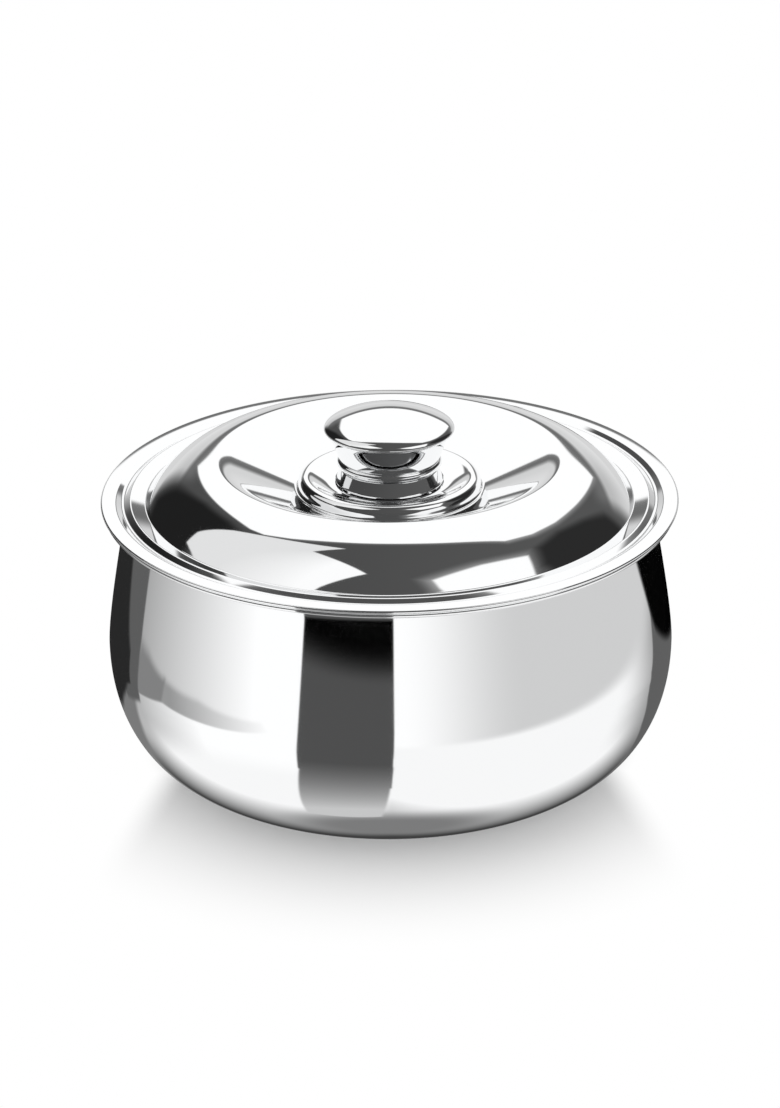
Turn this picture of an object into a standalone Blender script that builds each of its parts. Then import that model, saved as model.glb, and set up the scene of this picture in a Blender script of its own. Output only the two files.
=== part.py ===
"""Insulated stainless casserole for flatbreads, with a lid that lifts off.

Metres, +Z up. The origin is the centre of the ring that the pot stands on.
The pot is a belly-shaped casing, a food bowl folded over its flange, foam between them and a base plate.
The lid is a cover and a liner with foam between them, and a pressed knob bolted through the cover.
All turned pieces share one axis, so each is a half outline (radius, height) turned round Z.
"""

from math import asin, cos, degrees, hypot, radians, sin, tan

import bpy

# Sheet and clearances
SHEET = 0.0005
FIT_GAP = 0.0003
MERGE_DISTANCE = 0.00001

# Roundness, in flats a turn and in steps round a lip
BODY_FLATS = 32
KNOB_FLATS = 24
SMALL_FLATS = 16
HEXAGON = 6
LIP_STEPS = 3

# Pot rim and the stepped seat that carries the lid
BRIM_RADIUS = 0.1200
POT_HEIGHT = 0.1119
RIM_SETBACK = 0.0010
RIM_RETURN = 0.0016
RIM_LAND = 0.0032
STEP_RUN = 0.0030
STEP_DROP = 0.0018
SEAT_WIDTH = 0.0092
LIP_RADIUS = 0.0021

# Casing
NECK_SETBACK = 0.0087
NECK_DROP = 0.0058
NECK_TURN = 0.0014
BELLY_SETBACK = 0.0008
BELLY_HEIGHT = 0.0496
SHOULDER_RISE = 0.0110
FOOT_RADIUS = 0.0860
BELLY_FULLNESS = 2.15
STANDING_WIDTH = 0.0060
RECESS_RUN = 0.0025
RECESS_DEPTH = 0.0040
BASE_LIP_WIDTH = 0.0085

# Food bowl
BOWL_FLOOR_HEIGHT = 0.0206
BOWL_CORNER_RADIUS = 0.0240
BOWL_TAPER = 0.0020

# Base plate, with one stiffening bead
BASE_BEAD_SETBACK = 0.0140
BASE_BEAD_WIDTH = 0.0050
BASE_BEAD_RUN = 0.0015

# Plugs in the two foam holes
PLUG_STEM_RADIUS = 0.0050
PLUG_STEM_HEIGHT = 0.0042
PLUG_BARB_WIDTH = 0.0007
PLUG_BARB_HEIGHT = 0.0030
PLUG_HEAD_RADIUS = 0.0080
PLUG_HEAD_HEIGHT = 0.0013
PLUG_CHAMFER = 0.0006

# Lid cover, heights from the plane of its brim
HEM_HOLLOW = 0.0002
HEM_RETURN = 0.0019
BRIM_WIDTH = 0.0062
CHANNEL_WIDTH = 0.0060
CHANNEL_DEPTH = 0.0017
LEDGE_WIDTH = 0.0063
LEDGE_DROP = 0.0019
DOME_FOOT_DEGREES = 50.0
DOME_RUN = 0.0300
CREST_HEIGHT = 0.0158
CREST_TURN = 0.0017
CREST_BEND_SHARE = 0.14
WELL_DEPTH = 0.0143
WELL_FILLET = 0.0020
BOSS_RADIUS = 0.0381
BOSS_RISE = 0.0063
BOSS_SHOULDER = 0.0035
DISH_DEPTH = 0.0028
DISH_DEGREES = 26.0
DISH_MARGIN = 0.0014

# Lid liner
LINER_CLEARANCE = 0.0012
LINER_DEPTH = 0.0118
LINER_LIP = 0.0026
LINER_CORNER = 0.0030

# Knob
KNOB_FOOT_RADIUS = 0.0226
KNOB_NECK_RADIUS = 0.0202
KNOB_NECK_HEIGHT = 0.0030
KNOB_BASE_RADIUS = 0.0221
KNOB_BASE_HEIGHT = 0.0064
KNOB_BASE_CORNER = 0.0008
KNOB_CUP_HEIGHT = 0.0159
KNOB_BEAD_REACH = 0.0219
KNOB_BEAD_RADIUS = 0.0018
KNOB_BEAD_DEGREES = 66.0
KNOB_CAP_RADIUS = 0.0271
KNOB_CAP_DOME_RADIUS = 0.0550
KNOB_CAP_SHOULDER_RADIUS = 0.0225
KNOB_CAP_SHOULDER_HEIGHT = 0.0037
KNOB_LIP_WIDTH = 0.0006

# Knob bolt and what holds it under the cover
BOLT_RADIUS = 0.0030
BOLT_HEAD_RADIUS = 0.0055
BOLT_HEAD_HEIGHT = 0.0040
BOLT_END = 0.0015
WASHER_RADIUS = 0.0090
WASHER_HEIGHT = 0.0010
SPRING_WASHER_RADIUS = 0.0053
SPRING_WASHER_HEIGHT = 0.0014
SPRING_WASHER_SLOT = 0.0012
NUT_RADIUS = 0.0057
NUT_HEIGHT = 0.0050
POCKET_CLEARANCE = 0.0010
CUT_OVERRUN = 0.0010

# Places that follow from the sizes above
RIM_FOLD = (SHEET + FIT_GAP + SHEET + FIT_GAP + SHEET) / 2
RIM_RADIUS = BRIM_RADIUS - RIM_SETBACK
RIM_FOLD_CENTRE = RIM_RADIUS - RIM_FOLD
STEP_HEAD_RADIUS = RIM_FOLD_CENTRE - RIM_LAND
STEP_FOOT_RADIUS = STEP_HEAD_RADIUS - STEP_RUN
SEAT_HEIGHT = POT_HEIGHT - STEP_DROP
LIP_CENTRE = STEP_FOOT_RADIUS - SEAT_WIDTH
MOUTH_RADIUS = LIP_CENTRE - LIP_RADIUS
BELLY_RADIUS = BRIM_RADIUS - BELLY_SETBACK
RECESS_RADIUS = FOOT_RADIUS - STANDING_WIDTH - RECESS_RUN
BASE_BEAD_RADIUS = RECESS_RADIUS - BASE_LIP_WIDTH - BASE_BEAD_SETBACK
HEM_FOLD = SHEET + HEM_HOLLOW
BRIM_HEIGHT = POT_HEIGHT + FIT_GAP + HEM_FOLD + HEM_FOLD
SEAT_BELOW_BRIM = SEAT_HEIGHT - BRIM_HEIGHT
BASE_PLATE_HEIGHT = RECESS_DEPTH - FIT_GAP - SHEET
DOME_FOOT_RADIUS = BRIM_RADIUS - BRIM_WIDTH - CHANNEL_WIDTH - LEDGE_WIDTH
CREST_RADIUS = DOME_FOOT_RADIUS - DOME_RUN
BOSS_TOP = CREST_HEIGHT - WELL_DEPTH + BOSS_RISE
KNOB_SEAT_HEIGHT = BOSS_TOP - DISH_DEPTH
BOLT_HOLE_RADIUS = BOLT_RADIUS + FIT_GAP
PLUG_HOLE_RADIUS = PLUG_STEM_RADIUS + FIT_GAP
LINER_FLOOR = SEAT_BELOW_BRIM + FIT_GAP - LINER_DEPTH

# Looks: colour, metallic, roughness
POLISHED_STEEL = ((0.80, 0.80, 0.81), 1.0, 0.08)
ZINC_PLATED = ((0.62, 0.63, 0.65), 1.0, 0.35)
CREAM_FOAM = ((0.86, 0.78, 0.56), 0.0, 0.90)
PLUG_PLASTIC = ((0.80, 0.80, 0.78), 0.0, 0.45)

PARTS = "insulated_casserole"
CUTTERS = "cutters"


def arc(centre, radius, start, end, steps):
    """Points round a centre, from one angle to another, in degrees from the outward direction."""
    turns = [radians(start + (end - start) * i / steps) for i in range(steps + 1)]
    return [(centre[0] + radius * cos(turn), centre[1] + radius * sin(turn)) for turn in turns]


def bend(start, pull, end, steps):
    """A smooth bend that leaves start towards pull and reaches end from pull."""
    points = []
    for i in range(steps + 1):
        t = i / steps
        points.append(tuple(
            (1 - t) ** 2 * a + 2 * t * (1 - t) * b + t ** 2 * c
            for a, b, c in zip(start, pull, end)
        ))
    return points


def towards(start, end, distance):
    """The point at a distance from start on the way to end."""
    length = hypot(end[0] - start[0], end[1] - start[1])
    return tuple(a + (b - a) * distance / length for a, b in zip(start, end))


def joined(*runs):
    """One line from several, without the points where they meet twice."""
    line = []
    for run in runs:
        for point in run:
            if not line or hypot(point[0] - line[-1][0], point[1] - line[-1][1]) > MERGE_DISTANCE:
                line.append(point)
    return line


def behind(line, depth):
    """The line moved by depth to the back of the surface it draws, corners kept sharp."""
    faces = []
    for (r0, z0), (r1, z1) in zip(line, line[1:]):
        length = hypot(r1 - r0, z1 - z0)
        faces.append(((z0 - z1) / length, (r1 - r0) / length))
    moved = []
    for i, (r, z) in enumerate(line):
        before = faces[max(i - 1, 0)]
        after = faces[min(i, len(faces) - 1)]
        spread = 1 + before[0] * after[0] + before[1] * after[1]
        moved.append((
            r - depth * (before[0] + after[0]) / spread if r > 0 else 0.0,
            z - depth * (before[1] + after[1]) / spread,
        ))
    return moved


def finish(piece, look):
    """Give a piece a Principled material of its own."""
    colour, metallic, roughness = look
    material = bpy.data.materials.new(piece.name)
    material.use_nodes = True
    shader = material.node_tree.nodes["Principled BSDF"]
    shader.inputs["Base Color"].default_value = (*colour, 1.0)
    shader.inputs["Metallic"].default_value = metallic
    shader.inputs["Roughness"].default_value = roughness
    material.diffuse_color = (*colour, 1.0)
    piece.data.materials.append(material)


def turned(name, line, flats, body, look, wall=0.0, height=0.0):
    """A half outline turned round Z, with the thickness of a sheet behind it if wall is given."""
    mesh = bpy.data.meshes.new(name)
    edges = [(i, i + 1) for i in range(len(line) - 1)]
    mesh.from_pydata([(r, 0.0, z) for r, z in line], edges, [])
    piece = bpy.data.objects.new(name, mesh)
    finish(piece, look)
    piece.location.z = height
    piece.parent = body
    bpy.data.collections[PARTS].objects.link(piece)
    screw = piece.modifiers.new("turn", "SCREW")
    screw.axis = "Z"
    screw.steps = flats
    screw.render_steps = flats
    screw.use_merge_vertices = True
    screw.merge_threshold = MERGE_DISTANCE
    if wall:
        sheet = piece.modifiers.new("sheet", "SOLIDIFY")
        sheet.thickness = wall
        sheet.offset = -1.0
        sheet.use_even_offset = True
    return piece


def cutter(name, body):
    """The active primitive, made a hidden cutter."""
    tool = bpy.context.object
    tool.name = name
    tool.parent = body
    tool.display_type = "WIRE"
    tool.hide_render = True
    for collection in tool.users_collection:
        collection.objects.unlink(tool)
    bpy.data.collections[CUTTERS].objects.link(tool)
    return tool


def boolean(piece, tool, operation):
    """Cut the tool out of the piece, or join it on."""
    change = piece.modifiers.new(tool.name, "BOOLEAN")
    change.operation = operation
    change.solver = "EXACT"
    change.object = tool


def hexagon(name, radius, low, high, body, look):
    """A hexagonal prism that stays as a piece."""
    bpy.ops.mesh.primitive_cylinder_add(
        vertices=HEXAGON, radius=radius, depth=high - low, location=(0, 0, (low + high) / 2)
    )
    piece = bpy.context.object
    piece.name = name
    piece.parent = body
    finish(piece, look)
    for collection in piece.users_collection:
        collection.objects.unlink(piece)
    bpy.data.collections[PARTS].objects.link(piece)
    return piece


def round_cutter(name, radius, low, high, body):
    """A cylinder along Z that cuts or joins."""
    bpy.ops.mesh.primitive_cylinder_add(
        vertices=SMALL_FLATS, radius=radius, depth=high - low, location=(0, 0, (low + high) / 2)
    )
    return cutter(name, body)


# Pot
def casing_side_line():
    """The casing's visible side, from its neck down over the belly to the standing ring."""
    neck = (RIM_RADIUS - NECK_SETBACK, POT_HEIGHT - NECK_DROP)
    side = bend(neck, (BELLY_RADIUS, BELLY_HEIGHT + SHOULDER_RISE), (BELLY_RADIUS, BELLY_HEIGHT), 5)
    steps = 7
    belly = []
    for i in range(steps + 1):
        turn = radians(90 * i / steps)
        out = max(cos(turn), 0.0) ** (2 / BELLY_FULLNESS)
        down = sin(turn) ** (2 / BELLY_FULLNESS)
        belly.append((FOOT_RADIUS + (BELLY_RADIUS - FOOT_RADIUS) * out, BELLY_HEIGHT * (1 - down)))
    return joined(side, belly)


def step_under_line():
    """The casing's flange, under the bowl's step and land, from the fold inwards."""
    bowl_step = [
        (LIP_CENTRE, SEAT_HEIGHT),
        (STEP_FOOT_RADIUS, SEAT_HEIGHT),
        (STEP_HEAD_RADIUS, POT_HEIGHT),
        (RIM_FOLD_CENTRE, POT_HEIGHT),
    ]
    return behind(bowl_step, SHEET + FIT_GAP + SHEET)[:0:-1]


def outer_casing(body):
    flange = step_under_line()
    side = casing_side_line()
    neck_pull = towards(side[0], (BELLY_RADIUS, BELLY_HEIGHT + SHOULDER_RISE), -NECK_TURN)
    flare = bend(flange[-1], neck_pull, side[0], 3)
    base = [
        (FOOT_RADIUS - STANDING_WIDTH, 0.0),
        (RECESS_RADIUS, RECESS_DEPTH),
        (RECESS_RADIUS - BASE_LIP_WIDTH, RECESS_DEPTH),
    ]
    turned("outer_casing", joined(flange, flare, side, base), BODY_FLATS, body, POLISHED_STEEL, SHEET)


def bowl_inside_line():
    """The inside of the bowl, from the middle of its floor up over the round of its lip."""
    wall_radius = MOUTH_RADIUS - BOWL_TAPER
    corner_centre = (wall_radius - BOWL_CORNER_RADIUS, BOWL_FLOOR_HEIGHT + BOWL_CORNER_RADIUS)
    return joined(
        [(0.0, BOWL_FLOOR_HEIGHT)],
        arc(corner_centre, BOWL_CORNER_RADIUS, -90, 0, 5),
        arc((LIP_CENTRE, SEAT_HEIGHT - LIP_RADIUS), LIP_RADIUS, 180, 90, LIP_STEPS),
    )


def inner_bowl(body):
    step = [(STEP_FOOT_RADIUS, SEAT_HEIGHT), (STEP_HEAD_RADIUS, POT_HEIGHT)]
    fold = arc((RIM_FOLD_CENTRE, POT_HEIGHT - RIM_FOLD), RIM_FOLD, 90, -90, 4)
    inner_end = [(RIM_FOLD_CENTRE - RIM_RETURN, POT_HEIGHT - RIM_FOLD - RIM_FOLD)]
    line = joined(bowl_inside_line(), step, fold, inner_end)
    turned("inner_bowl", line, BODY_FLATS, body, POLISHED_STEEL, SHEET)


def body_foam(body):
    """Fills the space between bowl and casing, with a hollow for the plug."""
    under_bowl = behind(bowl_inside_line(), SHEET + FIT_GAP)
    side = behind(casing_side_line(), SHEET + FIT_GAP)
    top = SEAT_HEIGHT - SHEET - FIT_GAP
    bottom = RECESS_DEPTH + SHEET + FIT_GAP
    above_bottom = [point for point in side[::2] if point[1] > bottom + FIT_GAP]
    hollow_radius = PLUG_STEM_RADIUS + PLUG_BARB_WIDTH + FIT_GAP
    hollow_top = BASE_PLATE_HEIGHT + SHEET + PLUG_STEM_HEIGHT + POCKET_CLEARANCE
    line = joined(
        under_bowl,
        [(side[0][0] - FIT_GAP, top)],
        above_bottom,
        [(FOOT_RADIUS - STANDING_WIDTH, bottom), (hollow_radius, bottom)],
        [(hollow_radius, hollow_top), (0.0, hollow_top)],
    )
    turned("body_foam", line, BODY_FLATS, body, CREAM_FOAM)


def base_plate(body):
    """A disc in the recess under the casing's inner lip; its bead rises to the lip's own level."""
    radius = RECESS_RADIUS - FIT_GAP
    bead_height = BASE_PLATE_HEIGHT + SHEET + FIT_GAP
    outer_top = BASE_BEAD_RADIUS + BASE_BEAD_WIDTH / 2
    inner_top = BASE_BEAD_RADIUS - BASE_BEAD_WIDTH / 2
    line = [
        (radius, BASE_PLATE_HEIGHT),
        (outer_top + BASE_BEAD_RUN, BASE_PLATE_HEIGHT),
        (outer_top, bead_height),
        (inner_top, bead_height),
        (inner_top - BASE_BEAD_RUN, BASE_PLATE_HEIGHT),
        (PLUG_HOLE_RADIUS, BASE_PLATE_HEIGHT),
    ]
    turned("base_plate", line, BODY_FLATS, body, POLISHED_STEEL, SHEET)


def fill_plug(name, sheet_height, body):
    """A push-in plug: head under the sheet, barbed stem through it. Heights from the sheet's underside."""
    stem_top = SHEET + PLUG_STEM_HEIGHT
    barb_radius = PLUG_STEM_RADIUS + PLUG_BARB_WIDTH
    barb_foot = SHEET + FIT_GAP
    line = [
        (0.0, stem_top),
        (PLUG_STEM_RADIUS - PLUG_BARB_WIDTH, stem_top),
        (barb_radius, stem_top - PLUG_BARB_HEIGHT),
        (PLUG_STEM_RADIUS, barb_foot),
        (PLUG_STEM_RADIUS, -FIT_GAP),
        (PLUG_HEAD_RADIUS, -FIT_GAP),
        (PLUG_HEAD_RADIUS, PLUG_CHAMFER - FIT_GAP - PLUG_HEAD_HEIGHT),
        (PLUG_HEAD_RADIUS - PLUG_CHAMFER, -FIT_GAP - PLUG_HEAD_HEIGHT),
        (0.0, -FIT_GAP - PLUG_HEAD_HEIGHT),
    ]
    turned(name, line, SMALL_FLATS, body, PLUG_PLASTIC, height=sheet_height)


# Lid, heights from the plane of the brim
def cover_middle_line():
    """The cover's top from the knob seat over the boss, the well and the crest to the dome's foot."""
    seat_radius = KNOB_FOOT_RADIUS + DISH_MARGIN
    shoulder_centre = (BOSS_RADIUS - BOSS_SHOULDER, BOSS_TOP - BOSS_SHOULDER)
    shoulder = arc(shoulder_centre, BOSS_SHOULDER, 90 + DISH_DEGREES, 0, 4)
    dish_rise = shoulder[0][1] - KNOB_SEAT_HEIGHT
    dish_pull = (shoulder[0][0] - dish_rise / tan(radians(DISH_DEGREES)), KNOB_SEAT_HEIGHT)
    dish = bend((seat_radius, KNOB_SEAT_HEIGHT), dish_pull, shoulder[0], 2)
    corner = (BOSS_RADIUS, CREST_HEIGHT - WELL_DEPTH)
    crest = (CREST_RADIUS, CREST_HEIGHT)
    crest_pull = (CREST_RADIUS - CREST_TURN, CREST_HEIGHT)
    fillet = bend(
        (BOSS_RADIUS, corner[1] + WELL_FILLET), corner, towards(corner, crest_pull, WELL_FILLET), 2
    )
    bend_length = (crest_pull[0] - corner[0]) * CREST_BEND_SHARE
    inner_crest = bend(towards(crest_pull, corner, bend_length), crest_pull, crest, 2)
    foot = (DOME_FOOT_RADIUS, -LEDGE_DROP)
    dome_pull_run = (CREST_HEIGHT + LEDGE_DROP) / tan(radians(DOME_FOOT_DEGREES))
    dome = bend(crest, (DOME_FOOT_RADIUS - dome_pull_run, CREST_HEIGHT), foot, 5)
    return joined(dish, shoulder, fillet, inner_crest, dome)


def lid_cover(body):
    bead_radius = DOME_FOOT_RADIUS + LEDGE_WIDTH
    fold_centre = BRIM_RADIUS - HEM_FOLD
    line = joined(
        [(BOLT_HOLE_RADIUS, KNOB_SEAT_HEIGHT)],
        cover_middle_line(),
        [
            (bead_radius, 0.0),
            (bead_radius + CHANNEL_WIDTH / 2, -CHANNEL_DEPTH),
            (bead_radius + CHANNEL_WIDTH, 0.0),
        ],
        arc((fold_centre, -HEM_FOLD), HEM_FOLD, 90, -90, 4),
        [(fold_centre - HEM_RETURN, -HEM_FOLD - HEM_FOLD)],
    )
    turned("lid_cover", line, BODY_FLATS, body, POLISHED_STEEL, SHEET)


def liner_pan_line():
    """The liner's underside from the round of its lip down to the edge of its flat floor."""
    wall_radius = MOUTH_RADIUS - LINER_CLEARANCE
    flange_height = SEAT_BELOW_BRIM + FIT_GAP
    lip = arc((wall_radius + LINER_LIP, flange_height - LINER_LIP), LINER_LIP, 90, 180, LIP_STEPS)
    corner = arc((wall_radius - LINER_CORNER, LINER_FLOOR + LINER_CORNER), LINER_CORNER, 0, -90, 3)
    return joined(lip, corner)


def lid_liner(body):
    outer_height = -SHEET - FIT_GAP - SHEET
    line = joined(
        [
            (BRIM_RADIUS - HEM_FOLD - HEM_RETURN - FIT_GAP, outer_height),
            (STEP_HEAD_RADIUS, outer_height),
            (STEP_FOOT_RADIUS, SEAT_BELOW_BRIM + FIT_GAP),
        ],
        liner_pan_line(),
        [(PLUG_HOLE_RADIUS, LINER_FLOOR)],
    )
    turned("lid_liner", line, BODY_FLATS, body, POLISHED_STEEL, SHEET)


def lid_foam(body):
    """Fills the lid, with a hollow round the nut above and one for the plug below."""
    nut_hollow_radius = WASHER_RADIUS + FIT_GAP
    nut_hollow_floor = bolt_end_height() - POCKET_CLEARANCE
    under_cover = behind(cover_middle_line(), SHEET + FIT_GAP)[:-1]
    pan = behind(liner_pan_line(), SHEET + FIT_GAP)
    plug_radius = PLUG_STEM_RADIUS + PLUG_BARB_WIDTH + FIT_GAP
    plug_top = LINER_FLOOR + SHEET + PLUG_STEM_HEIGHT + POCKET_CLEARANCE
    line = joined(
        [(0.0, nut_hollow_floor), (nut_hollow_radius, nut_hollow_floor)],
        [(nut_hollow_radius, under_cover[0][1])],
        under_cover,
        pan[LIP_STEPS:],
        [(plug_radius, pan[-1][1]), (plug_radius, plug_top), (0.0, plug_top)],
    )
    turned("lid_foam", line, BODY_FLATS, body, CREAM_FOAM)


# Knob, heights from the seat in the boss
def knob_base(body):
    """A pedestal standing on the edge of its sheet: flared foot, neck and rounded top."""
    corner_centre = (KNOB_BASE_RADIUS - KNOB_BASE_CORNER, KNOB_BASE_HEIGHT - KNOB_BASE_CORNER)
    neck = (KNOB_NECK_RADIUS, KNOB_NECK_HEIGHT)
    line = joined(
        [(BOLT_HOLE_RADIUS, KNOB_BASE_HEIGHT)],
        arc(corner_centre, KNOB_BASE_CORNER, 90, -30, 3),
        bend(neck, (KNOB_NECK_RADIUS, FIT_GAP + SHEET), (KNOB_FOOT_RADIUS, FIT_GAP + SHEET), 4),
    )
    turned("knob_base", line, KNOB_FLATS, body, POLISHED_STEEL, SHEET, KNOB_SEAT_HEIGHT)


def cap_fold_centre():
    """Middle of the fold where the cap's rim grips the cup's lip."""
    lip_height = KNOB_BASE_HEIGHT + FIT_GAP + KNOB_CUP_HEIGHT
    return (KNOB_CAP_RADIUS - RIM_FOLD, lip_height + SHEET / 2)


def knob_cup(body):
    """An open cone with a lip at the top and a bead round its floor."""
    floor_height = KNOB_BASE_HEIGHT + FIT_GAP
    lip_radius = cap_fold_centre()[0]
    bead_centre = (KNOB_BEAD_REACH - KNOB_BEAD_RADIUS, floor_height + KNOB_BEAD_RADIUS)
    line = joined(
        [
            (lip_radius, floor_height + KNOB_CUP_HEIGHT),
            (lip_radius - KNOB_LIP_WIDTH, floor_height + KNOB_CUP_HEIGHT),
        ],
        arc(bead_centre, KNOB_BEAD_RADIUS, KNOB_BEAD_DEGREES, -90, 5),
        [(BOLT_HOLE_RADIUS, floor_height)],
    )
    turned("knob_cup", line, KNOB_FLATS, body, POLISHED_STEEL, SHEET, KNOB_SEAT_HEIGHT)


def knob_cap(body):
    """A shallow dome with a rounded shoulder, whose rim turns under the cup's lip."""
    fold_centre = cap_fold_centre()
    shoulder = (KNOB_CAP_SHOULDER_RADIUS, fold_centre[1] + KNOB_CAP_SHOULDER_HEIGHT)
    slope = asin(KNOB_CAP_SHOULDER_RADIUS / KNOB_CAP_DOME_RADIUS)
    dome_centre = (0.0, shoulder[1] - KNOB_CAP_DOME_RADIUS * cos(slope))
    dome = arc(dome_centre, KNOB_CAP_DOME_RADIUS, 90, 90 - degrees(slope), 3)
    dome[0] = (0.0, dome[0][1])
    edge_pull = (KNOB_CAP_RADIUS, shoulder[1] - (KNOB_CAP_RADIUS - KNOB_CAP_SHOULDER_RADIUS) * tan(slope))
    edge = bend(shoulder, edge_pull, (KNOB_CAP_RADIUS, fold_centre[1]), 3)
    line = joined(dome, edge, arc(fold_centre, RIM_FOLD, 0, -90, 3))
    turned("knob_cap", line, KNOB_FLATS, body, POLISHED_STEEL, SHEET, KNOB_SEAT_HEIGHT)


def washer_top():
    """Top of the plain washer, under the cover's sheet."""
    return KNOB_SEAT_HEIGHT - SHEET - FIT_GAP


def spring_washer_top():
    return washer_top() - WASHER_HEIGHT - FIT_GAP


def nut_top():
    return spring_washer_top() - SPRING_WASHER_HEIGHT - FIT_GAP


def bolt_end_height():
    return nut_top() - NUT_HEIGHT - BOLT_END


def knob_bolt(body):
    """Its hexagonal head sits on the cup's floor, and its shank runs down through the nut."""
    head_low = KNOB_SEAT_HEIGHT + KNOB_BASE_HEIGHT + FIT_GAP + SHEET + FIT_GAP
    head_high = head_low + BOLT_HEAD_HEIGHT
    bolt = hexagon("knob_bolt", BOLT_HEAD_RADIUS, head_low, head_high, body, ZINC_PLATED)
    shank = round_cutter("bolt_shank", BOLT_RADIUS, bolt_end_height(), head_high - CUT_OVERRUN, body)
    boolean(bolt, shank, "UNION")


def plain_washer(body):
    line = [(BOLT_HOLE_RADIUS, washer_top()), (WASHER_RADIUS, washer_top())]
    turned("plain_washer", line, KNOB_FLATS, body, ZINC_PLATED, WASHER_HEIGHT)


def spring_washer(body):
    """A ring that is cut through at one side."""
    top = spring_washer_top()
    line = [(BOLT_HOLE_RADIUS, top), (SPRING_WASHER_RADIUS, top)]
    washer = turned("spring_washer", line, KNOB_FLATS, body, ZINC_PLATED, SPRING_WASHER_HEIGHT)
    length = SPRING_WASHER_RADIUS + CUT_OVERRUN
    bpy.ops.mesh.primitive_cube_add(
        size=1,
        location=(length / 2, 0, top - SPRING_WASHER_HEIGHT / 2),
        scale=(length, SPRING_WASHER_SLOT, SPRING_WASHER_HEIGHT + CUT_OVERRUN),
    )
    boolean(washer, cutter("spring_washer_slot", body), "DIFFERENCE")


def knob_nut(body):
    top = nut_top()
    nut = hexagon("knob_nut", NUT_RADIUS, top - NUT_HEIGHT, top, body, ZINC_PLATED)
    low = top - NUT_HEIGHT - CUT_OVERRUN
    boolean(nut, round_cutter("nut_hole", BOLT_HOLE_RADIUS, low, top + CUT_OVERRUN, body), "DIFFERENCE")


def carrier(name, height):
    """An empty that carries the pieces of one moving body."""
    empty = bpy.data.objects.new(name, None)
    empty.location.z = height
    bpy.data.collections[PARTS].objects.link(empty)
    return empty


def build():
    for item in list(bpy.data.objects):
        bpy.data.objects.remove(item)
    for name in (PARTS, CUTTERS):
        bpy.context.scene.collection.children.link(bpy.data.collections.new(name))

    pot = carrier("pot", 0.0)
    outer_casing(pot)
    inner_bowl(pot)
    body_foam(pot)
    base_plate(pot)
    fill_plug("base_fill_plug", BASE_PLATE_HEIGHT, pot)

    lid = carrier("lid", BRIM_HEIGHT)
    lid_cover(lid)
    lid_liner(lid)
    lid_foam(lid)
    fill_plug("lid_fill_plug", LINER_FLOOR, lid)
    knob_base(lid)
    knob_cup(lid)
    knob_cap(lid)
    knob_bolt(lid)
    plain_washer(lid)
    spring_washer(lid)
    knob_nut(lid)


build()
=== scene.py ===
# %% [markdown]
# # An insulated casserole for flatbreads
# Two bowls of mirror-polished stainless sheet hold foam between them, and a double-walled lid drops into
# the mouth. Every sheet is pressed or spun on a lathe, so each one is a single outline turned round one
# axis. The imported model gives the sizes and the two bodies, pot and lid. Here each visible sheet is made
# again with a fine surface, because a mirror shows every flat of a coarse one.

# %% Load the frame and note its size
from math import asin, cos, degrees, hypot, pi, radians, sin, tan

import bpy
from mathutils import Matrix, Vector


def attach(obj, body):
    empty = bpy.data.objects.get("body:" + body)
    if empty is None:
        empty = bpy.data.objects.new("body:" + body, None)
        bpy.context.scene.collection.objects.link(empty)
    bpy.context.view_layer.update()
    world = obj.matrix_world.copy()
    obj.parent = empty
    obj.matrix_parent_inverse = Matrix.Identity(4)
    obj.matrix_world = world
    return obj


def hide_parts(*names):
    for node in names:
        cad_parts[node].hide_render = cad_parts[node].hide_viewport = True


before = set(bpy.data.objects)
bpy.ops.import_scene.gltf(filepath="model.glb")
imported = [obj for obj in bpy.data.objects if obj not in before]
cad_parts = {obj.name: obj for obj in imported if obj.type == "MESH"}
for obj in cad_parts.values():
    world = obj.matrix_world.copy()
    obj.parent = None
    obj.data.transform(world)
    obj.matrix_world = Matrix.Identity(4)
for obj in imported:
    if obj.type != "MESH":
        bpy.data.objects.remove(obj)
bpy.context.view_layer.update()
mm = 0.001

# %% [markdown]
# ## Camera
# The oval of the lid's brim gives the camera: its width and height tell how steeply the lens looks down,
# and the knob's height above it tells how far away the lens is. A long lens keeps the body almost upright.

# %% Camera
looks_down, roll = 23.752, -0.4
camera = bpy.data.objects.new("camera", bpy.data.cameras.new("camera"))
bpy.context.scene.collection.objects.link(camera)
camera.data.lens = 93.5
camera.location = (0, -1.1088, 0.5725)
camera.rotation_euler = (radians(90 - looks_down), 0, 0)
camera.rotation_euler.rotate_axis("Z", radians(roll))
camera.data.clip_end = 20
bpy.context.scene.camera = camera
print("camera", camera.data.lens, "mm lens, at", tuple(round(v, 3) for v in camera.location))

# %% [markdown]
# ## Lines for the lathe
# A pressed sheet is mostly arcs and slow curves. One small helper gives points round a centre, another
# bends from one straight into the next, and a third softens single corners. A fourth finds the back of a
# sheet from its front, which is where the next sheet begins. Two more join runs of points and lift a line.


# %% Helpers that give points along a line
def arc(centre, radius, start, end, steps):
    """Points round a centre, in degrees from the outward direction."""
    turns = [radians(start + (end - start) * i / steps) for i in range(steps + 1)]
    return [(centre[0] + radius * cos(t), centre[1] + radius * sin(t)) for t in turns]


def bend(start, pull, end, steps):
    """A smooth bend that leaves start towards pull and comes into end from pull."""
    points = []
    for i in range(steps + 1):
        t = i / steps
        weights = ((1 - t) ** 2, 2 * t * (1 - t), t**2)
        points.append(tuple(sum(w * p[k] for w, p in zip(weights, (start, pull, end))) for k in (0, 1)))
    return points


def towards(start, end, distance):
    """The point at a distance from start on the way to end."""
    length = hypot(end[0] - start[0], end[1] - start[1])
    return tuple(a + (b - a) * distance / length for a, b in zip(start, end))


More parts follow.
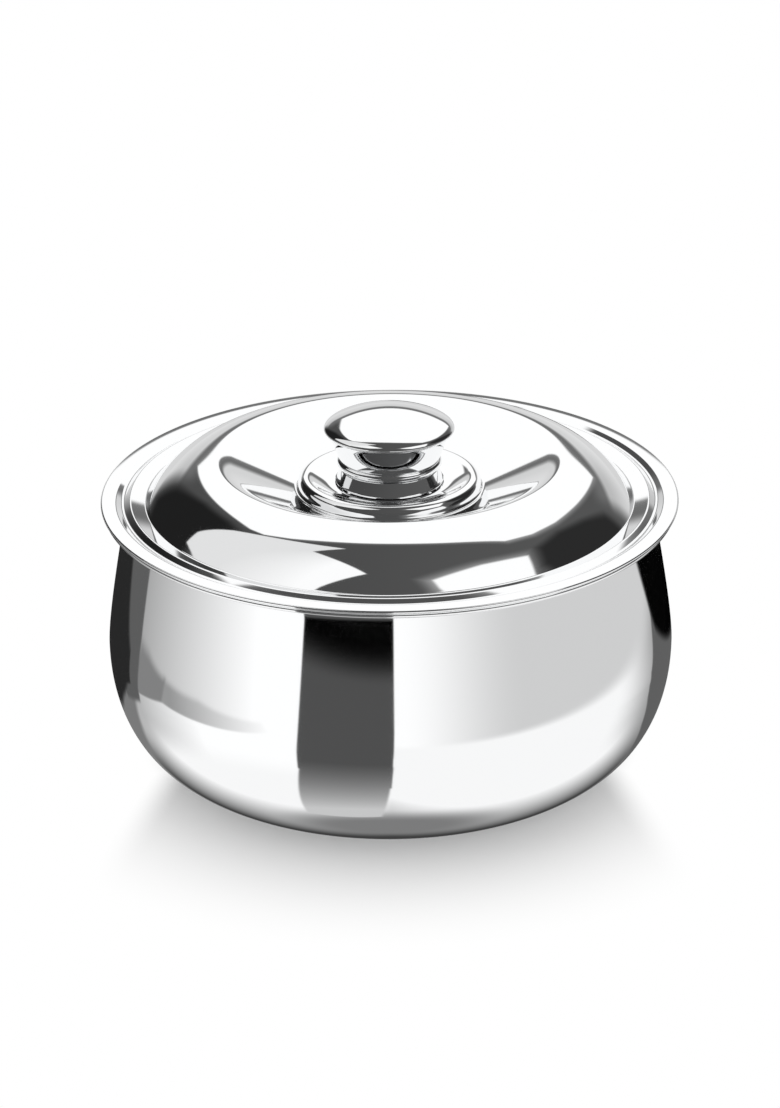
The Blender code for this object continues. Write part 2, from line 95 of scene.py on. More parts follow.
def softened(line, reach, steps=5):
    """The line with every inner corner rounded; reach is how far the round goes along each side."""
    points = [line[0]]
    for before, corner, after in zip(line, line[1:], line[2:]):
        points += bend(towards(corner, before, reach), corner, towards(corner, after, reach), steps)
    return points + [line[-1]]


def behind(line, depth):
    """The line moved by depth to the back of the surface that it draws."""
    faces = []
    for (r0, z0), (r1, z1) in zip(line, line[1:]):
        length = hypot(r1 - r0, z1 - z0)
        faces.append(((z0 - z1) / length, (r1 - r0) / length))
    moved = []
    for i, (r, z) in enumerate(line):
        a, b = faces[max(i - 1, 0)], faces[min(i, len(faces) - 1)]
        spread = 1 + a[0] * b[0] + a[1] * b[1]
        moved.append((r - depth * (a[0] + b[0]) / spread, z - depth * (a[1] + b[1]) / spread))
    return moved


def joined(*runs):
    """One line from several, without the points where they meet twice."""
    line = []
    for point in (point for run in runs for point in run):
        if not line or hypot(point[0] - line[-1][0], point[1] - line[-1][1]) > 0.004 * mm:
            line.append(point)
    return line


def lifted(line, height):
    """The same line, higher up."""
    return [(r, z + height) for r, z in line]


# %% [markdown]
# ## Turning a piece
# By hand this is: draw the outline as a chain of points, spin it round the axis, merge the seam and the
# middle, and give the skin its thickness. The chain starts as a plane that is merged to one point, and
# each next point is extruded from the last. The skin's outer side must be known before it gets thick, so
# a stretch of it is compared with the side that the outline was drawn on, and turned over if need be.


# %% Helpers that turn an outline into a piece
def apply(piece, kind, **settings):
    """Add a modifier and apply it."""
    modifier = piece.modifiers.new(kind.title(), kind)
    for key, value in settings.items():
        setattr(modifier, key, value)
    bpy.ops.object.modifier_apply(modifier=modifier.name)


def draw_outline(name, line):
    """A chain of points at +X, each extruded from the one before."""
    bpy.ops.object.select_all(action="DESELECT")
    bpy.ops.mesh.primitive_plane_add(size=mm, location=(line[0][0], 0, line[0][1]))
    piece = bpy.context.object
    piece.name = piece.data.name = name
    bpy.ops.object.transform_apply(location=True, rotation=True, scale=True)
    bpy.ops.object.mode_set(mode="EDIT")
    bpy.ops.mesh.select_all(action="SELECT")
    bpy.ops.mesh.merge(type="CENTER")
    for (r0, z0), (r1, z1) in zip(line, line[1:]):
        bpy.ops.mesh.extrude_vertices_move(TRANSFORM_OT_translate={"value": (r1 - r0, 0, z1 - z0)})
    return piece


def turn(name, line, node, body, wall=0.0, flats=256):
    """Spin an outline into a piece that stands for a node of the frame."""
    piece = draw_outline(name, line)
    bpy.ops.mesh.select_all(action="SELECT")
    bpy.ops.mesh.spin(steps=flats, angle=2 * pi, center=(0, 0, 0), axis=(0, 0, 1))
    bpy.ops.mesh.select_all(action="SELECT")
    bpy.ops.mesh.remove_doubles(threshold=0.001 * mm)
    bpy.ops.mesh.normals_make_consistent(inside=False)
    bpy.ops.object.mode_set(mode="OBJECT")
    (r0, z0), (r1, z1) = line[1], line[2]
    side = Vector((z0 - z1, 0, r1 - r0)).normalized()
    middle = Vector(((r0 + r1) / 2, 0, (z0 + z1) / 2))
    nearest = min(piece.data.polygons, key=lambda face: (face.center - middle).length)
    if nearest.normal.dot(side) < 0:
        bpy.ops.object.mode_set(mode="EDIT")
        bpy.ops.mesh.select_all(action="SELECT")
        bpy.ops.mesh.flip_normals()
        bpy.ops.object.mode_set(mode="OBJECT")
    if wall:
        apply(piece, "SOLIDIFY", thickness=wall, offset=-1.0, use_even_offset=True)
    bpy.ops.object.shade_smooth_by_angle(angle=radians(40))
    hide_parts(node)
    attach(piece, body)
    print(name, len(line), "points,", len(piece.data.polygons), "faces")
    return piece


# %% [markdown]
# ## Sizes that several pieces share
# The sheet is half a millimetre thick, and folded or touching sheets stand 0.3 mm apart. The brim's
# plane is the reference for the lid, and the pot's rim lies just under it.

# %% Shared sizes
sheet = 0.5 * mm
gap = 0.3 * mm
brim_radius = 120.0 * mm
brim_height = 113.6 * mm
pot_height = 111.9 * mm
fold = (sheet + gap + sheet + gap + sheet) / 2
rim_fold_centre = brim_radius - 1.0 * mm - fold
step_head = rim_fold_centre - 3.2 * mm
step_foot = step_head - 3.0 * mm
seat_height = pot_height - 1.8 * mm
lip_radius = 2.1 * mm
lip_centre = step_foot - 9.2 * mm
mouth_radius = lip_centre - lip_radius
seat_line = [
    (lip_centre, seat_height),
    (step_foot, seat_height),
    (step_head, pot_height),
    (rim_fold_centre, pot_height),
]
print("mouth", round(2 * mouth_radius / mm, 1), "mm across")

# %% [markdown]
# ## Casing
# The outer skin of the pot hangs from its flange like a skirt. It draws in under the rim, swells slowly to
# its widest a little below the middle, and comes round under itself to a ring that it stands on. The upper
# part is one long bend. The lower part is an oval that is slightly squarer than an ellipse, which is how
# a spun belly looks. Inside the ring the skin steps up, so the pot never rocks on its middle.

# %% Casing
belly_radius, belly_height, foot_radius = 119.2 * mm, 49.6 * mm, 86.0 * mm
squareness, belly_steps = 2.15, 56
recess = 4.0 * mm
shoulder_pull = (belly_radius, belly_height + 11.0 * mm)
neck = (brim_radius - 9.7 * mm, pot_height - 5.8 * mm)
side = bend(neck, shoulder_pull, (belly_radius, belly_height), 40)
for i in range(1, belly_steps + 1):
    angle = radians(90 * i / belly_steps)
    out, down = max(cos(angle), 0) ** (2 / squareness), sin(angle) ** (2 / squareness)
    side.append((foot_radius + (belly_radius - foot_radius) * out, belly_height * (1 - down)))
flange = behind(seat_line, sheet + gap + sheet)[:0:-1]
flare = bend(flange[-1], towards(neck, shoulder_pull, -1.4 * mm), neck, 12)
base = softened([(80 * mm, 0), (77.5 * mm, recess), (69 * mm, recess)], 1.2 * mm)
casing = turn("casing", joined(flange, flare, side, base), "outer_casing", "pot", sheet, 320)

# %% [markdown]
# ## Food bowl
# The inner skin is a plain pan with generous corners, so that a ladle or a cloth reaches everywhere. At the
# top it rolls outwards over a lip, runs flat as a seat for the lid, climbs one small step and is folded
# round the casing's flange. That fold is the bright bead under the lid's brim. The outline is drawn on
# the side that touches the food, and the thickness goes behind it.

# %% Food bowl
floor_height, corner = 20.6 * mm, 24.0 * mm
wall_radius = mouth_radius - 2.0 * mm
bowl_line = joined(
    [(0, floor_height), (20 * mm, floor_height), (40 * mm, floor_height), (55 * mm, floor_height)],
    arc((wall_radius - corner, floor_height + corner), corner, -90, 0, 24),
    arc((lip_centre, seat_height - lip_radius), lip_radius, 180, 90, 10),
    softened([(lip_centre + 0.2 * mm, seat_height), *seat_line[1:]], 0.6 * mm),
    arc((rim_fold_centre, pot_height - fold), fold, 90, -90, 16),
    [(rim_fold_centre - 1.6 * mm, pot_height - 2 * fold)],
)
bowl = turn("bowl", bowl_line, "inner_bowl", "pot", sheet, 320)

# %% [markdown]
# ## Base plate and its plug
# The bottom is closed by a pressed disc with one ring bead, which stops it from drumming. The foam goes in
# through a hole in its middle, and a push-in plug closes that hole.

# %% Base plate and plugs
plate_height = recess - gap - sheet
bead_height = plate_height + sheet + gap
plate_line = softened(
    [
        (77.2 * mm, plate_height),
        (59.0 * mm, plate_height),
        (57.5 * mm, bead_height),
        (52.5 * mm, bead_height),
        (51.0 * mm, plate_height),
        (5.3 * mm, plate_height),
    ],
    0.7 * mm,
)
plate = turn("bottom_plate", plate_line, "base_plate", "pot", sheet, 256)


def plug(name, node, body, height):
    """A push-in plug whose head lies under a sheet; height is the sheet's underside."""
    head = arc((8.0 * mm - 0.5 * mm, -gap - 0.8 * mm), 0.5 * mm, 0, -90, 5)
    line = joined(
        [(0, 4.7 * mm), (4.0 * mm, 4.7 * mm), (4.3 * mm, 4.7 * mm)],
        [(5.7 * mm, 1.7 * mm), (5.0 * mm, sheet + gap), (5.0 * mm, -gap), (8.0 * mm, -gap)],
        head,
        [(5.6 * mm, -gap - 1.3 * mm), (5.2 * mm, -gap - 1.0 * mm), (0, -gap - 1.0 * mm)],
    )
    return turn(name, lifted(line, height), node, body, flats=96)


pot_plug = plug("pot_plug", "base_fill_plug", "pot", plate_height)

# %% [markdown]
# ## Lid cover
# The cover is the richest pressing. From the rim inwards it has a flat brim with a folded edge, a shallow
# channel, a bead, a ledge that slopes down, and a high ring that falls away on both sides: outwards as a
# full dome and inwards as a straight cone, down to a well. A round boss stands up in that well,
# dished on top, to carry the knob. The dish stays shallow, because the foam lies close under it. Nearly
# all of what the eye sees on the lid is that ring's mirror, so its bends get many points.

# %% Lid cover
seat = 5.0 * mm
boss_top = seat + 2.8 * mm
boss_radius, boss_round = 38.1 * mm, 3.5 * mm
boss = arc((boss_radius - boss_round, boss_top - boss_round), boss_round, 116, 0, 14)
dish_edge, dish_pull = (25.2 * mm, seat), (28.05 * mm, seat)
well = (boss_radius, 1.5 * mm)
crest, crest_pull = (71.5 * mm, 15.8 * mm), (69.8 * mm, 15.8 * mm)
reach = (crest_pull[0] - well[0]) * 0.14
dome_foot = (101.5 * mm, -1.9 * mm)
dome_pull = (dome_foot[0] - (crest[1] - dome_foot[1]) / tan(radians(50)), crest[1])
hem = 0.7 * mm
cover_line = joined(
    [(3.3 * mm, seat), (12 * mm, seat)],
    bend(dish_edge, dish_pull, boss[0], 12),
    boss,
    bend((well[0], well[1] + 2 * mm), well, towards(well, crest_pull, 2 * mm), 8),
    bend(towards(crest_pull, well, reach), crest_pull, crest, 10),
    bend(crest, dome_pull, towards(dome_foot, dome_pull, 0.8 * mm), 36),
    softened(
        [
            towards(dome_foot, dome_pull, 0.7 * mm),
            dome_foot,
            (107.8 * mm, 0),
            (110.4 * mm, -1.6 * mm),
            (111.4 * mm, -1.6 * mm),
            (113.8 * mm, 0),
            (brim_radius - hem, 0),
        ],
        0.48 * mm,
    ),
    arc((brim_radius - hem, -hem), hem, 90, -90, 14),
    [(brim_radius - hem - 1.9 * mm, -2 * hem)],
)
cover = turn("lid_top", lifted(cover_line, brim_height), "lid_cover", "lid", sheet, 320)

# %% [markdown]
# ## Lid liner
# Under the cover a second pan hangs into the mouth. Its flange follows the bowl's step, so the lid cannot
# slide sideways, and its wall clears the mouth by about a millimetre all round.

# %% Lid liner and its plug
liner_flange = seat_height - brim_height + gap
liner_floor = liner_flange - 11.8 * mm
liner_wall = mouth_radius - 1.2 * mm
liner_line = joined(
    softened(
        [
            (117.1 * mm, -sheet - gap - sheet),
            (step_head, -sheet - gap - sheet),
            (step_foot, liner_flange),
            (liner_wall + 2.9 * mm, liner_flange),
        ],
        0.6 * mm,
    ),
    arc((liner_wall + 2.6 * mm, liner_flange - 2.6 * mm), 2.6 * mm, 90, 180, 10),
    arc((liner_wall - 3.0 * mm, liner_floor + 3.0 * mm), 3.0 * mm, 0, -90, 10),
    [(60 * mm, liner_floor), (30 * mm, liner_floor), (5.3 * mm, liner_floor)],
)
liner = turn("lid_pan", lifted(liner_line, brim_height), "lid_liner", "lid", sheet, 320)
lid_plug = plug("lid_plug", "lid_fill_plug", "lid", brim_height + liner_floor)

# %% [markdown]
# ## Knob
# Three small pressings are bolted together through the boss: a pedestal that widens towards its foot, a
# cone that opens upwards over a rounded collar, and a shallow cap folded over the cone's lip. Fingers go
# under the cap. Between pedestal and cone runs a dark joint line, which only shows if they are
# separate pieces.

# %% Knob pedestal
knob_seat = brim_height + seat
base_height = 6.4 * mm
pedestal_radius, pedestal_round = 20.6 * mm, 0.8 * mm
pedestal_line = joined(
    [(3.3 * mm, base_height), (12 * mm, base_height)],
    arc((pedestal_radius - pedestal_round, base_height - pedestal_round), pedestal_round, 90, 15, 10),
    [(22.1 * mm, 1.6 * mm)],
    bend((22.3 * mm, 1.2 * mm), (22.5 * mm, gap + sheet), (22.6 * mm, gap + sheet), 6),
)
pedestal = turn("knob_pedestal", lifted(pedestal_line, knob_seat), "knob_base", "lid", sheet, 192)

# %% Knob cone and cap
cone_foot = base_height + gap
cone_top = cone_foot + 15.9 * mm
cap_radius = 27.1 * mm
cap_centre = (cap_radius - fold, cone_top + sheet / 2)
collar_radius, collar_round = 20.1 * mm, 1.8 * mm
collar = arc((collar_radius, cone_foot + collar_round), collar_round, 66, -90, 16)
cone_line = joined(
    [(cap_centre[0], cone_top)],
    softened(
        [(cap_centre[0] - 0.1 * mm, cone_top), (cap_centre[0] - 0.6 * mm, cone_top), collar[0]],
        0.4 * mm,
    )[:-1],
    collar,
    [(12 * mm, cone_foot), (3.3 * mm, cone_foot)],
)
cone = turn("knob_cone", lifted(cone_line, knob_seat), "knob_cup", "lid", sheet, 192)
dome_radius, shoulder = 55.0 * mm, (22.5 * mm, cap_centre[1] + 3.7 * mm)
slope = asin(shoulder[0] / dome_radius)
edge_pull = (cap_radius, shoulder[1] - (cap_radius - shoulder[0]) * tan(slope))
dome_centre = (0, shoulder[1] - dome_radius * cos(slope))
cap_line = joined(
    [(0, dome_centre[1] + dome_radius)],
    arc(dome_centre, dome_radius, 89.4, 90 - degrees(slope), 24),
    bend(shoulder, edge_pull, (cap_radius, cap_centre[1]), 18),
    arc(cap_centre, fold, 0, -90, 10),
)
cap = turn("knob_top", lifted(cap_line, knob_seat), "knob_cap", "lid", sheet, 192)

# %% [markdown]
# ## Shader maths as plain expressions
# Node trees for a finish are mostly arithmetic. A small class wraps a socket, so that `1 - mask` or
# `a * b + c` adds the Math nodes by itself, and one method adds any other node from its type, its
# settings and the values or links of its sockets.


# %% A socket that can be used in sums
class Value:
    def __init__(self, tree, socket):
        self.tree, self.socket = tree, socket

    def node(self, kind, settings=None, output=0, **inputs):
        """Add a node; settings are its properties, inputs its sockets by number (i0, i1) or name."""
        made = self.tree.nodes.new(kind)
        for key, value in (settings or {}).items():
            setattr(made, key, value)
        for key, value in inputs.items():
            name = key.replace("_", " ")
            socket = made.inputs[int(key[1:])] if key[1:].isdigit() else made.inputs[name]
            if isinstance(value, Value):
                self.tree.links.new(value.socket, socket)
            else:
                socket.default_value = value
        return Value(self.tree, made.outputs[output])

    def sum(self, operation, a, b=0.0, c=0.0):
        return self.node("ShaderNodeMath", {"operation": operation}, i0=a, i1=b, i2=c)

    def __add__(self, other):
        return self.sum("ADD", self, other)

    def __radd__(self, other):
        return self.sum("ADD", other, self)

    def __sub__(self, other):
        return self.sum("SUBTRACT", self, other)

    def __rsub__(self, other):
        return self.sum("SUBTRACT", other, self)

    def __mul__(self, other):
        return self.sum("MULTIPLY", self, other)

    def __rmul__(self, other):
        return self.sum("MULTIPLY", other, self)

    def __truediv__(self, other):
        return self.sum("DIVIDE", self, other)

    def __pow__(self, other):
        return self.sum("POWER", self, other)

    def __abs__(self):
        return self.sum("ABSOLUTE", self)

    def rise(self, low, high, start=0.0, end=1.0):
        """From start below low to end above high, with soft ends."""
        settings = {"interpolation_type": "SMOOTHSTEP", "clamp": True}
        return self.node("ShaderNodeMapRange", settings, i0=self, i1=low, i2=high, i3=start, i4=end)

    def slide(self, low, high, start=0.0, end=1.0):
        """The same in a straight line."""
        return self.node("ShaderNodeMapRange", {"clamp": True}, i0=self, i1=low, i2=high, i3=start, i4=end)

    def between(self, low, high, soft):
        """1 from low to high, fading over soft at each end."""
        return self.rise(low - soft, low + soft) * self.rise(high - soft, high + soft, 1.0, 0.0)


# %% [markdown]
# ## The studio
# A mirror has no colour of its own: it shows the room. The room is drawn in the world shader as a
# photographer would set it up: a big white screen behind the object, a soft box on either side in front,
# dark gaps between them, a dark gap where the camera stands, and a bright table below. Cards have straight
# edges, so each one is given by its corners, marked on a plane one metre over or under the object. A
# direction lies inside a card when it is on the inner side of every edge. The camera itself sees white.

# %% World: directions and cards
world = bpy.data.worlds.new("studio")
bpy.context.scene.world = world
world.use_nodes = True
world.node_tree.nodes.clear()
start = Value(world.node_tree, None)
direction = start.node("ShaderNodeTexCoord")
parts = start.node("ShaderNodeSeparateXYZ", i0=direction)
x, y, z = (Value(world.node_tree, parts.socket.node.outputs[i]) for i in range(3))
turn_degrees = x.sum("ARCTAN2", x, y) * (180 / pi)
height = z.sum("ARCSINE", z) * (180 / pi)
left = turn_degrees.rise(-5, 5, 1.0, 0.0)


def patch(under, grey, mask):
    """Lay a grey over what is there, where the mask is 1."""
    return under + (grey - under) * mask


def card(under, grey, level, corners, soft):
    """Lay a straight-edged card over what is there; level is 1 for the ceiling and -1 for the table."""
    points = [Vector((*corner, level)) for corner in corners]
    middle = sum(points, Vector())
    mask = 1.0
    for a, b in zip(points, points[1:] + points[:1]):
        edge = a.cross(b).normalized()
        edge = edge if edge.dot(middle) > 0 else -edge
        dot = {"operation": "DOT_PRODUCT"}
        inside = start.node("ShaderNodeVectorMath", dot, output=1, i0=direction, i1=edge)
        mask = inside.sum("MINIMUM", mask, inside)
    return patch(under, grey, mask.rise(-soft, soft))


# %% World: above the horizon
sky = x * 0.03 + 0.31
to_the_sides = abs(turn_degrees - 2).rise(10, 30)
below_screen = height.slide(0, 10, 0.87, 0.82) - to_the_sides * height.slide(-4, 12, 0.0, 0.1)
below_screen = patch(below_screen, 0.42, height.rise(12.5, 16.5))
sky = patch(sky, below_screen, (turn_degrees - 5).between(-31, 36, 5) * height.rise(17, 26, 1.0, 0.0))
screen = [(-0.85, 2.78), (-0.69, 1.2), (-0.62, 0.5), (-0.56, 0.37), (-0.4, 0.29), (-0.1, 0.24)]
screen += [(0.2, 0.21), (0.55, 0.2), (0.72, 0.36), (0.88, 0.7), (1.0, 1.2), (1.4, 2.74)]
dark_left = [(-0.76, 0.38), (-0.75, 0.68), (-0.9, 1.24), (-1.8, 3.0)]
dark_left += [(-9.9, 16.4), (-20, 20), (-3.5, 1.28), (-1.6, 0.7)]
dark_right = [(6.2, 5.4), (2.05, 1.9), (1.32, 0.98), (1.0, 0.5)]
dark_right += [(0.92, 0.16), (1.19, -0.04), (2.14, 0), (6.7, 2.4)]
sky = card(sky, 0.14, 1, dark_left, 0.06)
sky = card(sky, 0.18, 1, dark_right, 0.05)
sky = card(sky, 0.62, 1, [(u + 0.04, v - 0.02) for u, v in screen], 0.05)
sky = card(sky, 1.0, 1, screen, 0.012)
box_grey = turn_degrees.slide(-125, -85, 0.99, 0.88)
box_back = [(-0.19, 0.18), (-0.19, 0.08), (-1.9, -0.52), (-1.9, 0.95), (-1.2, 0.77), (-0.8, 0.5)]
sky = card(sky, box_grey, 1, box_back, 0.008)
box_left = [(-0.41, 0.1), (-0.14, -0.39), (-0.57, -0.58), (-1.9, -0.35), (-1.9, 0.3)]
sky = card(sky, box_grey, 1, box_left, 0.008)
box_right = [(0.24, -0.43), (0.55, -0.22), (0.84, 0.06), (1.25, -0.25)]
box_right += [(1.9, -0.8), (1.0, -1.1), (0.35, -0.6)]
sky = card(sky, 0.72, 1, [(u - 0.04, v - 0.01) for u, v in box_right], 0.09)
sky = card(sky, 1.0, 1, box_right, 0.015)

# %% World: below the horizon
table_high = patch(turn_degrees.rise(125, 178, 0.8, 1.0), turn_degrees.slide(-125, -60, 1.0, 0.64), left)
table_low = patch(turn_degrees.rise(40, 80, 0.6, 0.97), turn_degrees.slide(-97, -54, 1.0, 0.7), left)
table = patch(table_low, table_high, (height + 17).rise(-1.5, 1.5))
band = [(-2.58, -2.3), (-2.5, 0.65), (-3.38, 0.65), (-3.62, -0.6), (-3.1, -2.5)]
table = card(table, turn_degrees.slide(-132, -83, 1.0, 0.58), -1, band, 0.012)
band_end = [(-2.5, 0.6), (-3.38, 0.6), (-3.2, 1.3), (-3.0, 1.6), (-1.6, 1.35), (-1.67, 1.27)]
table = card(table, 0.5, -1, band_end, 0.012)
# Painted shadow: steeply below, the table darkens where the pot's own shadow lies, and straight down it is
# grey, because the steel looks past the real sheet and cannot see the shade on it.
under_pot = (abs(x) * 0.76 - y * 0.65) / abs(z)
table = patch(table, under_pot.slide(-0.4, 0.5, 0.25, 0.97), height.rise(-42, -30, 1.0, 0.0))
table = patch(table, 0.48, height.rise(-80, -64, 1.0, 0.0))
table = patch(table, 0.82, (turn_degrees - 4).between(-31, 33, 5) * height.rise(-14, -11))
grey_left = [(-2.0, 1.6), (-1.7, 1.27), (-1.05, 1.08), (-0.72, 1.08), (-0.1, 1.7), (-0.1, 2.4)]
table = card(table, 0.47, -1, grey_left, 0.03)
middle_left = [(-2.2, 2.9), (-4.6, 2.6), (-3.55, 1.95), (-2.95, 1.62), (-1.58, 1.08), (-1.2, 1.4)]
table = card(table, 0.36, -1, middle_left, 0.012)
edge_left = [(-2.29, 1.79), (-2.3, 2.94), (-0.65, 3.67), (0.02, 3.6)]
edge_left += [(0.02, 2.1), (-0.75, 1.6), (-1.16, 1.48), (-1.72, 1.44)]
table = card(table, 0.17, -1, edge_left, 0.012)
grey_right = [(0.05, 1.9), (0.05, 2.4), (0.77, 2.5), (2.4, 2.1), (1.94, 1.54)]
grey_right += [(1.37, 1.23), (0.95, 1.14), (0.63, 1.19), (0.3, 1.46)]
table = card(table, 0.37, -1, grey_right, 0.012)
over_right = [(0.02, 2.3), (0.02, 5.2), (2.6, 4.5), (5.9, 3.14), (2.4, 2.1)]
table = card(table, 0.26, -1, over_right, 0.012)
edge_right = [(0.02, 2.2), (0.02, 3.0), (1.59, 2.75), (2.73, 2.73), (5.9, 3.14), (4.54, 2.41), (2.05, 2.05)]
table = card(table, 0.04, -1, edge_right, 0.008)
gap_grey = patch(height.slide(-64, -30, 0.77, 0.31), 0.0, height.rise(-6.6, -3.8))
gap_high = [(0.55, -28.6), (0.09, -4.6), (0.0, -1.0), (-0.92, -1.12), (-15.0, -21.8)]
gap_low = [(0.02, -1.63), (-0.045, -0.3), (-0.36, -0.147), (-1.19, -1.63)]
table = card(card(table, gap_grey, -1, gap_high, 0.006), gap_grey, -1, gap_low, 0.01)
room = patch(table, sky, height.rise(-1.5, 1.5))

# %% World: output
screen_curve, room_strength = 2.2, 1.07
light = room**screen_curve
glow = start.node("ShaderNodeCombineColor", i0=light, i1=light, i2=light)
seen = start.node("ShaderNodeLightPath")
mirrored = start.node("ShaderNodeBackground", Color=glow, Strength=room_strength)
white = start.node("ShaderNodeBackground", Color=(1, 1, 1, 1), Strength=1.0)
both = start.node("ShaderNodeMixShader", i0=seen, i1=mirrored, i2=white)
world_out = world.node_tree.nodes.new("ShaderNodeOutputWorld")
world.node_tree.links.new(both.socket, world_out.inputs["Surface"])
print("world nodes", len(world.node_tree.nodes))

# %% [markdown]
# ## Floor
# The pot stands on a plain white sheet with a painted shadow round its foot, darkest under the belly and
# gone within a hand's breadth. A mask sets the shadow's shape: a band that reaches forwards and widens,
# a narrower one behind, and a thin ring all round. Inside it the sheet is a grey surface that takes real
# shade, and farther out it is simply as white as the background, so the shadow is partly painted and
# partly real. The pot's own steel looks past the sheet into the studio, because a sheet this close would
# hide the table and the camera's gap from it.

# %% Floor
bpy.ops.object.select_all(action="DESELECT")
bpy.ops.mesh.primitive_plane_add(size=8, location=(0, 0, 0))
floor = bpy.context.object
floor.name = "floor"
paper = bpy.data.materials.new("white_sheet")
paper.use_nodes = True
paper.node_tree.nodes.clear()
start = Value(paper.node_tree, None)
place = start.node("ShaderNodeTexCoord", output=3)
parts = start.node("ShaderNodeSeparateXYZ", i0=place)
x, y = (Value(paper.node_tree, parts.socket.node.outputs[i]) for i in range(2))
reach = (x * x + y * y) ** 0.5
# Painted shadow mask: where it is 1, the white glow gives way to grey diffuse, which darkens the sheet even
# in full light; real shade from the pot deepens it near the foot.
near = reach.slide(82 * mm, 180 * mm, 1.0, 0.0)
forward = (abs(x) + y * 0.25).rise(74 * mm, 92 * mm, 1.0, 0.0)
backward = abs(x).rise(70 * mm, 116 * mm, 1.0, 0.0)
shade = patch(forward, backward, y.rise(-10 * mm, 40 * mm))
shade = shade.sum("MAXIMUM", shade, reach.rise(84 * mm, 108 * mm, 1.0, 0.0))
# The grey sheet of the painted shadow, which also takes real shade; the white glow is the plain backdrop.
sheet_shaded = start.node("ShaderNodeBsdfDiffuse", Color=(0.6, 0.6, 0.6, 1))
sheet_white = start.node("ShaderNodeEmission", Color=(1, 1, 1, 1), Strength=1.0)
surface = start.node("ShaderNodeMixShader", i0=near * near * shade, i1=sheet_white, i2=sheet_shaded)
clear = start.node("ShaderNodeBsdfTransparent")
seen = start.node("ShaderNodeLightPath", output=3)
final = start.node("ShaderNodeMixShader", i0=seen, i1=surface, i2=clear)
paper_out = paper.node_tree.nodes.new("ShaderNodeOutputMaterial")
paper.node_tree.links.new(final.socket, paper_out.inputs["Surface"])
floor.data.materials.append(paper)
bpy.context.scene.view_settings.view_transform = "Standard"

# %% [markdown]
# ## Polished steel
# Buffed stainless is a mirror, but not a perfect one. The buffing wheel leaves very fine rings round the
# axis, the sheet waves a little from pressing, and hands leave faint dull patches. All three are only
# hints: the waves bend the reflections slightly, the rings and patches change how sharp they are.


# %% Finish for the sheets
def steel_finish(name, tint, gloss, rings, waves):
    """Polished sheet; gloss is its roughness, rings and waves how strong those marks are."""
    material = bpy.data.materials.new(name)
    material.use_nodes = True
    tree = material.node_tree
    shader = tree.nodes["Principled BSDF"]
    start = Value(tree, None)
    place = start.node("ShaderNodeTexCoord", output=3)
    parts = start.node("ShaderNodeSeparateXYZ", i0=place)
    x, y, z = (Value(tree, parts.socket.node.outputs[i]) for i in range(3))
    across = (x * x + y * y) ** 0.5
    fine = 2600.0
    along = start.node("ShaderNodeCombineXYZ", i0=across * fine, i1=z * fine, i2=0.0)
    ring = start.node("ShaderNodeTexNoise", {"noise_dimensions": "3D"}, Vector=along, Scale=1.0, Detail=2.0)
    smear = start.node("ShaderNodeTexNoise", Vector=place, Scale=22.0, Detail=4.0, Roughness=0.6)
    wave = start.node("ShaderNodeTexNoise", Vector=place, Scale=14.0, Detail=1.0)
    rough = gloss + ring.slide(0.35, 0.75, 0.0, rings * 0.05) + smear.slide(0.5, 0.8, 0.0, gloss * 0.7)
    shade = smear.slide(0.3, 0.8, 1.0, 0.97)
    darker = tuple(0.9 * t for t in tint)
    mix = {"data_type": "RGBA"}
    colour = start.node("ShaderNodeMix", mix, output=2, i0=shade, i6=(*darker, 1), i7=(*tint, 1))
    relief = wave * waves + ring * rings * 0.0006
    bump = start.node("ShaderNodeBump", Strength=1.0, Distance=mm, Height=relief)
    for socket, value in (("Base Color", colour), ("Roughness", rough), ("Normal", bump)):
        tree.links.new(value.socket, shader.inputs[socket])
    shader.inputs["Metallic"].default_value = 1.0
    return material


def dress(piece, look):
    """Give a piece one finish in place of what it has."""
    piece.data.materials.clear()
    piece.data.materials.append(look)


mirror_steel = steel_finish("mirror_steel", (0.93, 0.935, 0.94), 0.035, 0.2, 0.02)
lid_steel = steel_finish("lid_mirror_steel", (0.93, 0.935, 0.94), 0.03, 0.2, 0.02)
inner_steel = steel_finish("satin_steel", (0.80, 0.80, 0.80), 0.16, 1.0, 0.03)
for piece, look in (
    (casing, mirror_steel),
    (bowl, lid_steel),
    (cover, lid_steel),
    (pedestal, lid_steel),
    (cone, lid_steel),
    (cap, lid_steel),
    (plate, inner_steel),
    (liner, inner_steel),
):
    dress(piece, look)

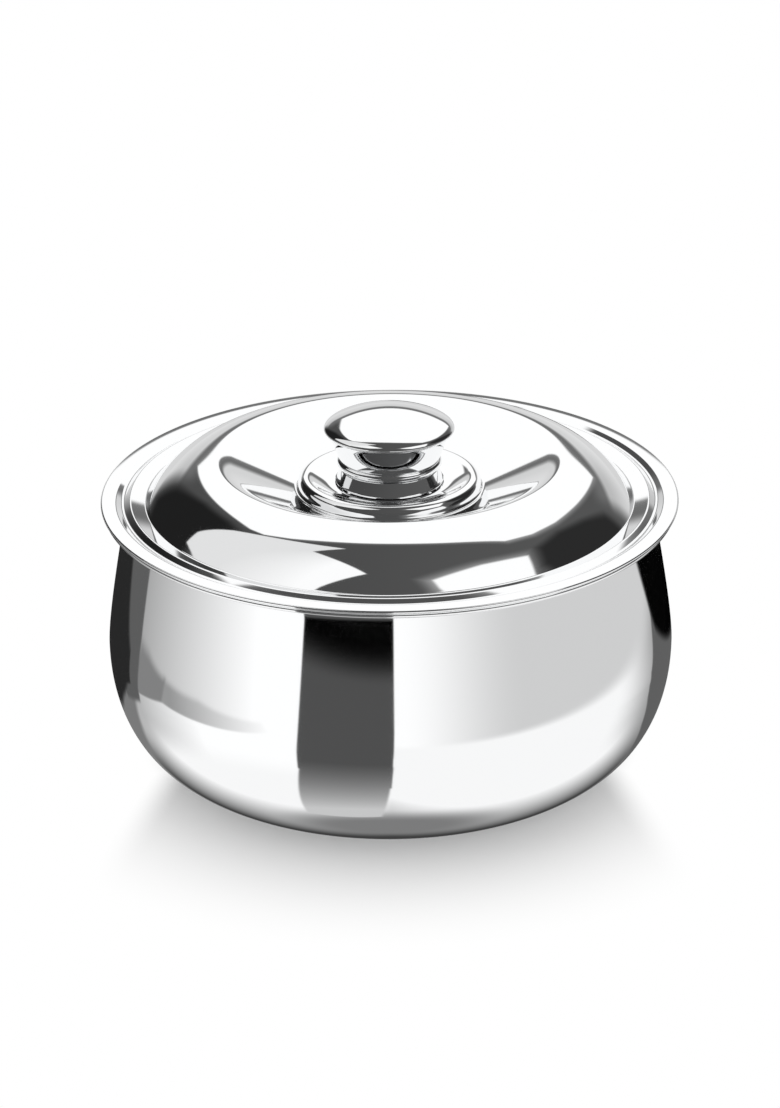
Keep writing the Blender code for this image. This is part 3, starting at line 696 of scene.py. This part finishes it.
# %% [markdown]
# ## What is inside, and the plugs
# The bolt, its washers and the nut are zinc-plated, with a faint mottled grain. The foam is a matt cream
# with a skin of small cells, a little darker in places where it met the steel. The plugs are moulded in
# a pale plastic with a fine even grain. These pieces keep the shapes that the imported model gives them,
# apart from the plugs, which were turned above.


# %% Finishes for the inner pieces
def grained_finish(name, tint, dark, gloss, cell, depth, metal=0.0):
    """A finish with one grain size; cell is the grain in metres and depth how far it stands out."""
    material = bpy.data.materials.new(name)
    material.use_nodes = True
    tree = material.node_tree
    shader = tree.nodes["Principled BSDF"]
    start = Value(tree, None)
    place = start.node("ShaderNodeTexCoord", output=3)
    grain = start.node("ShaderNodeTexNoise", Vector=place, Scale=1 / cell, Detail=3.0, Roughness=0.55)
    cells = start.node("ShaderNodeTexVoronoi", Vector=place, Scale=0.5 / cell)
    cloud = start.node("ShaderNodeTexNoise", Vector=place, Scale=60.0, Detail=2.0)
    shade = grain.slide(0.3, 0.7) * 0.5 + cloud.slide(0.3, 0.7) * 0.5
    mix = {"data_type": "RGBA"}
    colour = start.node("ShaderNodeMix", mix, output=2, i0=shade, i6=(*dark, 1), i7=(*tint, 1))
    rough = gloss + grain.slide(0.3, 0.7, -0.05, 0.08)
    relief = (grain + cells) * (depth / mm)
    bump = start.node("ShaderNodeBump", Strength=1.0, Distance=mm, Height=relief)
    for socket, value in (("Base Color", colour), ("Roughness", rough), ("Normal", bump)):
        tree.links.new(value.socket, shader.inputs[socket])
    shader.inputs["Metallic"].default_value = metal
    return material


zinc = grained_finish("zinc_plate", (0.66, 0.68, 0.70), (0.52, 0.54, 0.57), 0.32, 0.6 * mm, 0.004 * mm, 1.0)
foam = grained_finish("cream_foam", (0.84, 0.76, 0.54), (0.68, 0.57, 0.36), 0.85, 0.9 * mm, 0.12 * mm)
plastic = grained_finish("pale_plastic", (0.80, 0.80, 0.77), (0.72, 0.72, 0.69), 0.42, 0.35 * mm, 0.01 * mm)
for piece in (pot_plug, lid_plug):
    dress(piece, plastic)
kept = {
    "body_foam": foam,
    "lid_foam": foam,
    "knob_bolt": zinc,
    "plain_washer": zinc,
    "spring_washer": zinc,
    "knob_nut": zinc,
}
for name, look in kept.items():
    dress(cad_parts[name], look)
print("kept from the packed model:", list(kept))
